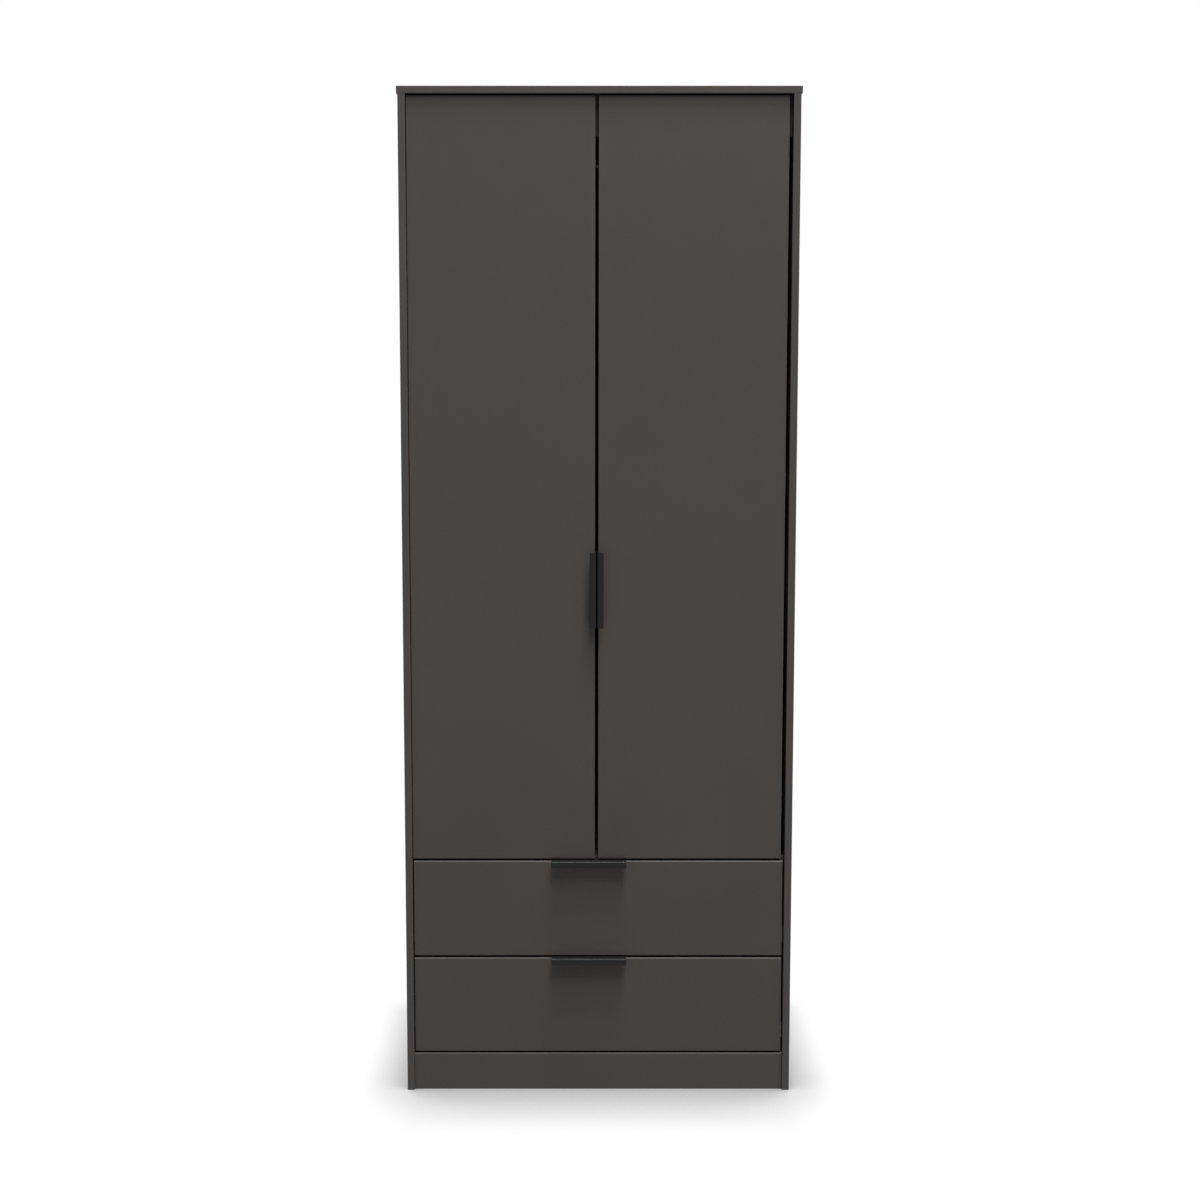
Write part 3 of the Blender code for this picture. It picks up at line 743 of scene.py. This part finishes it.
def build_door(word):
    """A lipped board, bored for its hinge cups, with two clear bumpers behind its upper corners."""
    side = SIDES[word]
    node = f"{word}_door"
    low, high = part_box(node)
    hinge_edge = high.x if side > 0 else low.x
    free_edge = low.x if side > 0 else high.x
    cup_x = hinge_edge - side * CUP_IN
    levels = [middle_of(f"{word}_{level}_hinge_cup").z for level in LEVELS]
    past = 2 * (high.y - low.y)  # long enough to come out of the door's back
    bores = [
        turned([(0, 0), (CUP_BORE_RADIUS, 0), (CUP_BORE_RADIUS, past), (0, past)],
               (cup_x, low.y + CUP_BORE_FLOOR, z), (0, 1, 0))
        for z in levels
    ]
    bm = combined(block(low, high, EDGE_RADIUS), bores, "DIFFERENCE")

    def rule(normal, middle):
        near = any(math.hypot(middle.x - cup_x, middle.z - z) < CUP_BORE_RADIUS + GAP for z in levels)
        if near and low.y + GAP < middle.y < high.y - GAP:
            return 2
        return 0 if abs(normal.y) > FLAT else 1

    stand_in(node, "board", paint(bm, rule), BOARD)

    z = (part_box("front_top_rail")[0].z + high.z) / 2
    spots = [(free_edge + side * BUMPER_INSET, high.y, z), (hinge_edge - side * BUMPER_INSET, high.y, z)]
    curve = dome(BUMPER_RADIUS, 0, 0.25 * BUMPER_HEIGHT, BUMPER_HEIGHT)[:-1]
    bumper = turned([(0, -GAP / 2), (BUMPER_RADIUS, -GAP / 2), *curve, (0, BUMPER_HEIGHT)], segments=32)
    piece(f"{word}_door_bumpers", copies(bumper, spots, (0, 1, 0)), [M["clear"]], node)


def wing_plate(seat, mouth, hole):
    """The cup's flange: a ring with two round-ended ears, a screw hole in each."""
    rim = 0.0195
    ring = turned(
        [(hole, seat), (rim - 0.0003, seat), (rim, seat + 0.0003), (rim, mouth - 0.0004),
         (rim - 0.0004, mouth), (hole + 0.0003, mouth), (hole, mouth - 0.0003)], direction=(0, 1, 0))
    root, reach, half = 0.0175, 0.030, 0.006
    end_radius = 0.98 * half
    ears = []
    for up in (1, -1):
        ear = filleted([(-half, up * root, 0), (half, up * root, 0), (half, up * reach, end_radius),
                        (-half, up * reach, end_radius)], steps=10)
        ears.append(prism(ear, seat, mouth, "Y"))
    return combined(ring, ears, "UNION")


def coil(radius, wire, turns, length):
    """A coil spring along z, round its middle."""
    steps, sides = 16, 8
    bm = bmesh.new()
    rings = []
    total = turns * steps
    for i in range(total + 1):
        angle = 2 * math.pi * i / steps
        centre = Vector((radius * math.cos(angle), radius * math.sin(angle), length * (i / total - 0.5)))
        outward = Vector((math.cos(angle), math.sin(angle), 0))
        rings.append([
            bm.verts.new(centre + outward * (wire * math.cos(2 * math.pi * k / sides))
                         + Vector((0, 0, wire * math.sin(2 * math.pi * k / sides))))
            for k in range(sides)
        ])
    for first, second in zip(rings, rings[1:]):
        for k in range(sides):
            bm.faces.new((first[k], first[(k + 1) % sides], second[(k + 1) % sides], second[k]))
    bm.faces.new(rings[0])
    bm.faces.new(rings[-1])
    bmesh.ops.recalc_face_normals(bm, faces=bm.faces)
    return bm


def cup_shape():
    """A left-hand hinge cup, measured from its centre at the door's face, hinge edge towards -X."""
    floor, seat, mouth = 0.0039, 0.0153, 0.0165
    wall = 0.0009
    inside = CUP_RADIUS - wall
    bend = 0.0016
    axle = (-0.011, 0.0100, 0)
    bowl = turned(
        [(0, floor), (CUP_RADIUS - bend, floor), (CUP_RADIUS - 0.3 * bend, floor + 0.3 * bend),
         (CUP_RADIUS, floor + bend), (CUP_RADIUS, mouth - 0.0002), (inside, mouth - 0.0002),
         (inside, floor + wall + bend), (inside - 0.3 * bend, floor + wall + 0.3 * bend),
         (inside - bend, floor + wall), (0, floor + wall)], direction=(0, 1, 0))
    flange = wing_plate(seat, mouth, CUP_RADIUS - wall / 2)
    shell = combined(bowl, [flange], "UNION")
    cheeks = []
    for z in (-0.0050, 0.0038):
        outline = filleted([(-0.0138, 0.0047, 0.0003), (-0.0082, 0.0047, 0.0003), (-0.0084, 0.0125, 0.0022),
                            (-0.0136, 0.0125, 0.0022)], steps=6)
        cheeks.append(prism(outline, z, z + STEEL, "Z", soften=0.0002))
    pin = turned([(0, -0.0049), (0.0011, -0.0049), (0.0011, 0.0049), (0, 0.0049)], axle)
    spring = coil(0.0019, 0.00036, 7, 0.0062)
    bmesh.ops.translate(spring, vec=axle, verts=spring.verts)
    return gathered([shell, *cheeks, pin, spring])


def arm_shapes(gap):
    """A left-hand hinge arm and its plate: inwards from the side panel is +X, back from the fronts +Y.

    gap is the air between the side panel and the door's hinge edge.
    """
    half_height = 0.0065
    foot = 0.0036  # the channel's walls stop on the mounting plate
    body = gap + ARM_RISE
    near, far = gap + 0.0215, gap + 0.0245  # the two faces of the nose
    front, rear = 0.0072, 0.0858
    outline = filleted([
        (foot, rear, 0.0008), (body, rear, 0.0030), (body, 0.0380, 0.0060), (far, 0.0245, 0.0040),
        (far, front, 0.0013), (near, front, 0.0013), (near, 0.0218, 0.0030), (foot, 0.0384, 0.0008),
    ], steps=5)
    bar = prism(outline, -half_height, half_height, "Z", soften=0.0006)
    open_side = -0.01  # the hollow runs out of the bar towards the side panel
    hollow = filleted([
        (open_side, rear - STEEL, 0), (body - STEEL, rear - STEEL, 0.0018), (body - STEEL, 0.0384, 0.0060),
        (gap + 0.0190, 0.0290, 0.001), (open_side, 0.0470, 0),
    ], steps=4)
    inner = prism(hollow, -half_height + STEEL, half_height - STEEL, "Z")
    half = 0.0022
    end_radius = 0.98 * half
    slots = []
    for start, end in ((0.0435, 0.0515), (0.0700, 0.0780)):
        cut = filleted([(start, -half, end_radius), (end, -half, end_radius), (end, half, end_radius),
                        (start, half, end_radius)], steps=6)
        slots.append(prism(cut, body - 2 * STEEL, body + STEEL, "X"))
    arm = combined(bar, [inner, *slots], "DIFFERENCE")
    pin = turned([(0, -half_height), (0.0010, -half_height), (0.0010, half_height), (0, half_height)],
                 ((near + far) / 2, 0.0095, 0))
    plate_outline = filleted([
        (0.0482, -0.0218, 0.0050), (0.0618, -0.0218, 0.0050), (0.0618, 0.0218, 0.0050),
        (0.0482, 0.0218, 0.0050),
    ], steps=8)
    plate = prism(plate_outline, GAP, GAP + 0.0018, "X", soften=0.0003)
    saddle = block((GAP + 0.0010, 0.0485, -0.0052), (foot + 0.0004, 0.0615, 0.0052), 0.0006)
    return gathered([arm, pin]), gathered([plate, saddle])


def build_hinges(word):
    """Three concealed hinges: the cups ride on the door, the arms stay on the side panel."""
    side = SIDES[word]
    door_low, door_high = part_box(f"{word}_door")
    panel_low, panel_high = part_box(f"{word}_side_panel")
    hinge_edge = door_high.x if side > 0 else door_low.x
    wall = panel_low.x if side > 0 else panel_high.x
    gap = abs(wall - hinge_edge)
    for level in LEVELS:
        node = f"{word}_{level}_hinge_cup"
        z = middle_of(node).z
        centre = Vector((hinge_edge - side * CUP_IN, door_low.y, z))
        stand_in(node, "bowl", mirrored(cup_shape(), side), [M["nickel"]], centre)
        spots = [(0, 0.0162, up * 0.0240) for up in (1, -1)]
        piece(f"{word}_{level}_cup_screws", copies(screw_head(0.0036, 0.0016), spots, (0, 1, 0)),
              [M["nickel"]], f"{word}_door", centre)

        node = f"{word}_{level}_hinge_arm"
        place = Vector((wall, door_low.y, z))
        arm, plate = (mirrored(bm, side) for bm in arm_shapes(gap))
        stand_in(node, "channel", arm, [M["nickel"]], place)
        piece(f"{word}_{level}_hinge_plate", plate, [M["nickel"]], "carcass", place)
        spots = [(-side * (GAP + 0.0016), 0.0550, up * 0.0155) for up in (1, -1)]
        heads = copies(screw_head(0.0037, 0.0016), spots, (-side, 0, 0))
        piece(f"{word}_{level}_plate_screws", heads, [M["nickel"]], "carcass", place)
        top = gap + ARM_RISE
        spots = [(-side * (top - STEEL), y, 0) for y in (0.0475, 0.0610, 0.0740)]
        heads = copies(screw_head(0.0030, 0.0011), spots, (-side, 0, 0))
        piece(f"{word}_{level}_arm_screws", heads, [M["nickel"]], "carcass", place)


# Drawers

def foil_rule(axis):
    """Foil all round the board, bare chipboard where it is sawn at the ends of the axis."""
    return lambda normal, middle: 1 if abs(normal[AXES[axis]]) > FLAT else 0


def build_drawer_box(row):
    """Foil-wrapped sides and back round a hardboard base, with its screws, pins and cam locks."""
    body = f"{row}_drawer"
    foil = [M["foil"], M["chipboard"]]
    base_low, base_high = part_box(f"{row}_drawer_base")
    for word, side in SIDES.items():
        node = f"{row}_drawer_{word}_side"
        low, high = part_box(node)
        outer, inner = (high.x, low.x) if side > 0 else (low.x, high.x)
        groove = side * (base_high.x + GAP)
        outline = filleted([
            (outer, low.z, 0.0006), (outer, high.z, DRAWER_EDGE_RADIUS),
            (inner, high.z, DRAWER_EDGE_RADIUS), (inner, base_high.z + GAP, 0),
            (groove, base_high.z + GAP, 0), (groove, base_low.z - GAP, 0), (inner, base_low.z - GAP, 0),
            (inner, low.z, 0.0006),
        ], steps=5)
        bm = paint(prism(outline, low.y, high.y, "Y"), foil_rule("Y"))
        stand_in(node, "board", bm, foil)
        build_cams(row, word, low, inner)

    node = f"{row}_drawer_back"
    low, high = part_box(node)
    outline = filleted([
        (low.y, low.z, 0.0004), (high.y, low.z, 0.0004), (high.y, high.z, DRAWER_EDGE_RADIUS),
        (low.y, high.z, DRAWER_EDGE_RADIUS),
    ], steps=5)
    stand_in(node, "board", paint(prism(outline, low.x, high.x, "X"), foil_rule("X")), foil)

    node = f"{row}_drawer_base"
    sheet = paint(block(base_low, base_high, SHEET_EDGE, steps=1),
                  lambda normal, middle: 0 if normal.z > FLAT else 1)
    stand_in(node, "sheet", sheet, [M["foil"], M["hardboard"]])

    side_low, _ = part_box(f"{row}_drawer_left_side")
    middle = (low + high) / 2  # of the drawer's back
    for word, side in SIDES.items():
        spots = [(side * abs(side_low.x), middle.y, middle.z + step) for step in (-0.035, 0.040)]
        piece(f"{row}_drawer_{word}_side_screws", copies(pin_head(0.0034, 0.0007), spots, (side, 0, 0)),
              [M["zinc"]], body)
    under = [(x, middle.y, base_low.z) for x in (-0.28, -0.14, 0.0, 0.14, 0.28)]
    piece(f"{row}_drawer_base_pins", copies(pin_head(0.0024, 0.0007), under, (0, 0, -1)), [M["zinc"]],
          body)


def cam_disc():
    """A cam lock's face, with its cross slot."""
    radius, height = 0.0072, 0.0005
    disc = turned([(0, -GAP / 2), (radius, -GAP / 2), (radius, height - 0.0002), (radius - 0.0003, height),
                   (0.0052, height), (0.0048, height - 0.0003), (0, height - 0.0003)], segments=40)
    cross = [block((-a, -b, -0.00005), (a, b, 0.004)) for a, b in ((0.0042, 0.0007), (0.0007, 0.0042))]
    return combined(disc, cross, "DIFFERENCE")


def build_cams(row, word, low, inner):
    """Two cam locks in a drawer side's inner face, that pull the drawer front on."""
    side = SIDES[word]
    behind_front = 0.024
    spots = [(inner, low.y + behind_front, low.z + rise) for rise in (0.040, 0.098)]
    piece(f"{row}_drawer_{word}_cams", copies(cam_disc(), spots, (-side, 0, 0)), [M["zinc"]],
          f"{row}_drawer")


# Runners

def build_runners(row):
    """On each side a channel on the carcass, a strip on the drawer's side and a roller on both."""
    for word, side in SIDES.items():
        build_channel(row, word, side)
        build_strip(row, word, side)
        for node in (f"{row}_{word}_cabinet_roller", f"{row}_drawer_{word}_roller"):
            build_roller(node)


def round_hole(spot, direction, radius):
    """A cutter along a direction, round a spot."""
    reach = 0.006
    base = Vector(spot) - Vector(direction) * (reach / 2)
    return turned([(0, 0), (radius, 0), (radius, reach), (0, reach)], base, direction, 24)


def build_channel(row, word, side):
    """The cabinet runner: a channel with punched holes, screws and its roller's axle."""
    node = f"{row}_{word}_cabinet_runner"
    low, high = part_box(node)
    wall = high.x if side > 0 else low.x
    lip = low.x if side > 0 else high.x
    web = wall - side * STEEL
    fold = BEND + STEEL
    soft = SHEET_SOFT
    outline = filleted([
        (wall, low.z, fold), (lip, low.z, soft), (lip, low.z + STEEL, soft), (web, low.z + STEEL, BEND),
        (web, high.z - STEEL, BEND), (lip, high.z - STEEL, soft), (lip, high.z, soft), (wall, high.z, fold),
    ])
    profile = prism(outline, low.y, high.y, "Y", soften=0.0002)
    middle = (low.z + high.z) / 2
    length = high.y - low.y
    holes = [round_hole((web, low.y + share * length, middle), (side, 0, 0), 0.0025)
             for share in (0.17, 0.30, 0.56, 0.82)]
    profile = combined(profile, holes, "DIFFERENCE")
    axle_at = middle_of(f"{row}_{word}_cabinet_roller")
    axle = stub((web + side * STEEL / 2, axle_at.y, axle_at.z), -side, abs(web - axle_at.x) + AXLE_PAST)
    stand_in(node, "profile", gathered([profile, axle]), [M["enamel"]])
    spots = [(web, low.y + share * length, middle) for share in (0.09, 0.43, 0.70)]
    piece(f"{row}_{word}_runner_screws", copies(screw_head(0.0032, 0.0014), spots, (-side, 0, 0)),
          [M["zinc"]], "carcass")


def stub(start, towards, length):
    """A roller's axle along X, with a riveted end."""
    radius = 0.0018
    return turned([(0, 0), (radius, 0), (radius, length - 0.0004), (radius - 0.0004, length), (0, length)],
                  start, (towards, 0, 0), 24)


def build_strip(row, word, side):
    """The drawer runner: a strip folded under the drawer's side and out at the top, with its axle."""
    node = f"{row}_drawer_{word}_runner"
    low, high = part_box(node)
    board_low, board_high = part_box(f"{row}_drawer_{word}_side")
    inner, tip = (low.x, high.x) if side > 0 else (high.x, low.x)
    outer_face = board_high.x if side > 0 else board_low.x
    near = outer_face + side * GAP
    web = near + side * STEEL
    ledge = board_low.z - GAP
    fold = BEND + STEEL
    soft = SHEET_SOFT
    outline = filleted([
        (inner, ledge - STEEL, soft), (web, ledge - STEEL, fold), (web, high.z - STEEL, BEND),
        (tip, high.z - STEEL, soft), (tip, high.z, soft), (near, high.z, fold), (near, ledge, BEND),
        (inner, ledge, soft),
    ])
    profile = prism(outline, low.y, high.y, "Y", soften=0.0002)
    axle_at = middle_of(f"{row}_drawer_{word}_roller")
    axle = stub((web - side * STEEL / 2, axle_at.y, axle_at.z), side, abs(web - axle_at.x) + AXLE_PAST)
    stand_in(node, "profile", gathered([profile, axle]), [M["enamel"]])
    length = high.y - low.y
    level = (ledge + high.z) / 2
    spots = [(web, low.y + share * length, level) for share in (0.10, 0.38, 0.66)]
    piece(f"{row}_drawer_{word}_runner_screws", copies(screw_head(0.0028, 0.0012), spots, (side, 0, 0)),
          [M["zinc"]], f"{row}_drawer")


def build_roller(node):
    """A crowned nylon wheel with a sunk web and a raised hub."""
    low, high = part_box(node)
    centre = (low + high) / 2
    radius = (high.z - low.z) / 2
    half = (high.x - low.x) / 2
    bore, hub, sunk, rim = 0.0021, 0.0038, 0.0010, radius - 0.0016
    slope, soft, crown = 0.0005, 0.0008, 0.0003
    one_face = [
        (bore, half), (hub, half), (hub + slope, half - sunk), (rim - slope, half - sunk), (rim, half),
        (radius - soft, half), (radius - crown, half - soft),
    ]
    profile = [(r, -x) for r, x in one_face] + [(radius, 0)] + one_face[::-1]
    stand_in(node, "wheel", turned(profile, centre, (1, 0, 0), 40), [M["nylon"]])


# Stage

def build_floor():
    """A pale floor that glows paper white to the camera, with a painted shadow close round the object's
    foot.
    """
    bm = bmesh.new()
    bmesh.ops.create_grid(bm, x_segments=1, y_segments=1, size=FLOOR_SIZE / 2)
    mesh = bpy.data.meshes.new("floor")
    bm.to_mesh(mesh)
    bm.free()
    floor = bpy.data.objects.new("floor", mesh)
    floor.location.z = -FLOOR_DROP
    bpy.context.scene.collection.objects.link(floor)

    material = bpy.data.materials.new("pale_floor")
    material.use_nodes = True
    tree = material.node_tree
    tree.nodes.clear()
    output = tree.nodes.new("ShaderNodeOutputMaterial")
    place = tree.nodes.new("ShaderNodeSeparateXYZ")
    link(tree, tree.nodes.new("ShaderNodeNewGeometry").outputs["Position"], place.inputs["Vector"])
    aside = tree.nodes.new("ShaderNodeMath")
    aside.operation = "ABSOLUTE"
    link(tree, place.outputs["X"], aside.inputs[0])
    ahead = ranged(tree, place.outputs["Y"], 1.0, 0.0, cad_low.y - 0.03, cad_low.y + 0.04)
    between = ranged(tree, aside.outputs["Value"], 1.0, 0.0, cad_high.x - 0.02, cad_high.x + 0.08)
    reach = ranged(tree, product(tree, ahead, between), SIDE_SHADOW_REACH, FRONT_SHADOW_REACH, 0.0, 1.0)
    # painted shadow: ambient occlusion dims the floor's glow near the object; no lamp casts it
    painted_floor_shadow = tree.nodes.new("ShaderNodeAmbientOcclusion")
    link(tree, reach, painted_floor_shadow.inputs["Distance"])
    painted_floor_shadow.samples = 12
    deeper = tree.nodes.new("ShaderNodeMath")
    deeper.operation = "POWER"
    deeper.inputs[1].default_value = FLOOR_SHADOW_DEPTH
    link(tree, painted_floor_shadow.outputs["AO"], deeper.inputs[0])
    glow = tree.nodes.new("ShaderNodeEmission")
    link(tree, deeper.outputs["Value"], glow.inputs["Strength"])
    matt = tree.nodes.new("ShaderNodeBsdfDiffuse")
    matt.inputs["Color"].default_value = (FLOOR_BOUNCE, FLOOR_BOUNCE, FLOOR_BOUNCE, 1.0)
    seen = tree.nodes.new("ShaderNodeLightPath")
    mix = tree.nodes.new("ShaderNodeMixShader")
    link(tree, seen.outputs["Is Camera Ray"], mix.inputs["Fac"])
    link(tree, matt.outputs["BSDF"], mix.inputs[1])
    link(tree, glow.outputs["Emission"], mix.inputs[2])
    link(tree, mix.outputs["Shader"], output.inputs["Surface"])
    mesh.materials.append(material)


def build_world():
    """White to the camera, a softer even light on the object."""
    world = bpy.data.worlds.new("studio")
    bpy.context.scene.world = world
    world.use_nodes = True
    tree = world.node_tree
    tree.nodes.clear()
    output = tree.nodes.new("ShaderNodeOutputWorld")
    seen = tree.nodes.new("ShaderNodeLightPath")
    mix = tree.nodes.new("ShaderNodeMixShader")
    for i, strength in ((1, AMBIENT), (2, 1.0)):
        background = tree.nodes.new("ShaderNodeBackground")
        background.inputs["Color"].default_value = (1.0, 1.0, 1.0, 1.0)
        background.inputs["Strength"].default_value = strength
        link(tree, background.outputs["Background"], mix.inputs[i])
    link(tree, seen.outputs["Is Camera Ray"], mix.inputs["Fac"])
    link(tree, mix.outputs["Shader"], output.inputs["Surface"])


def area_light(name, place, size, power):
    """A rectangle that shines straight down."""
    light = bpy.data.lights.new(name, "AREA")
    light.shape = "RECTANGLE"
    light.size, light.size_y = size
    light.energy = power
    obj = bpy.data.objects.new(name, light)
    obj.location = place
    bpy.context.scene.collection.objects.link(obj)


def build_camera():
    front = cad_low.y + HANDLE_DEPTH
    data = bpy.data.cameras.new("camera")
    data.lens = CAMERA_LENS
    data.sensor_width = CAMERA_SENSOR
    data.shift_x = CAMERA_SHIFT
    camera = bpy.data.objects.new("camera", data)
    camera.location = (CAMERA_X, front - CAMERA_DISTANCE, CAMERA_HEIGHT)
    camera.rotation_euler = (math.pi / 2 - CAMERA_TILT, 0, 0)
    bpy.context.scene.collection.objects.link(camera)
    bpy.context.scene.camera = camera


def build_stage():
    build_floor()
    build_world()
    for name, (place, size, power) in LIGHTS.items():
        area_light(name, place, size, power)
    build_camera()
    bpy.context.scene.view_settings.view_transform = "Standard"


def main():
    build_boards()
    build_side_panels()
    build_back()
    build_hanging_rail()
    for word, side in SIDES.items():
        build_door(word)
        build_hinges(word)
        build_handle(f"{word}_door_handle", "Z", "X", -side)
    for row in ROWS:
        build_handle(f"{row}_drawer_handle", "X", "Z", 1)
        build_drawer_box(row)
        build_runners(row)
    build_stage()


main()
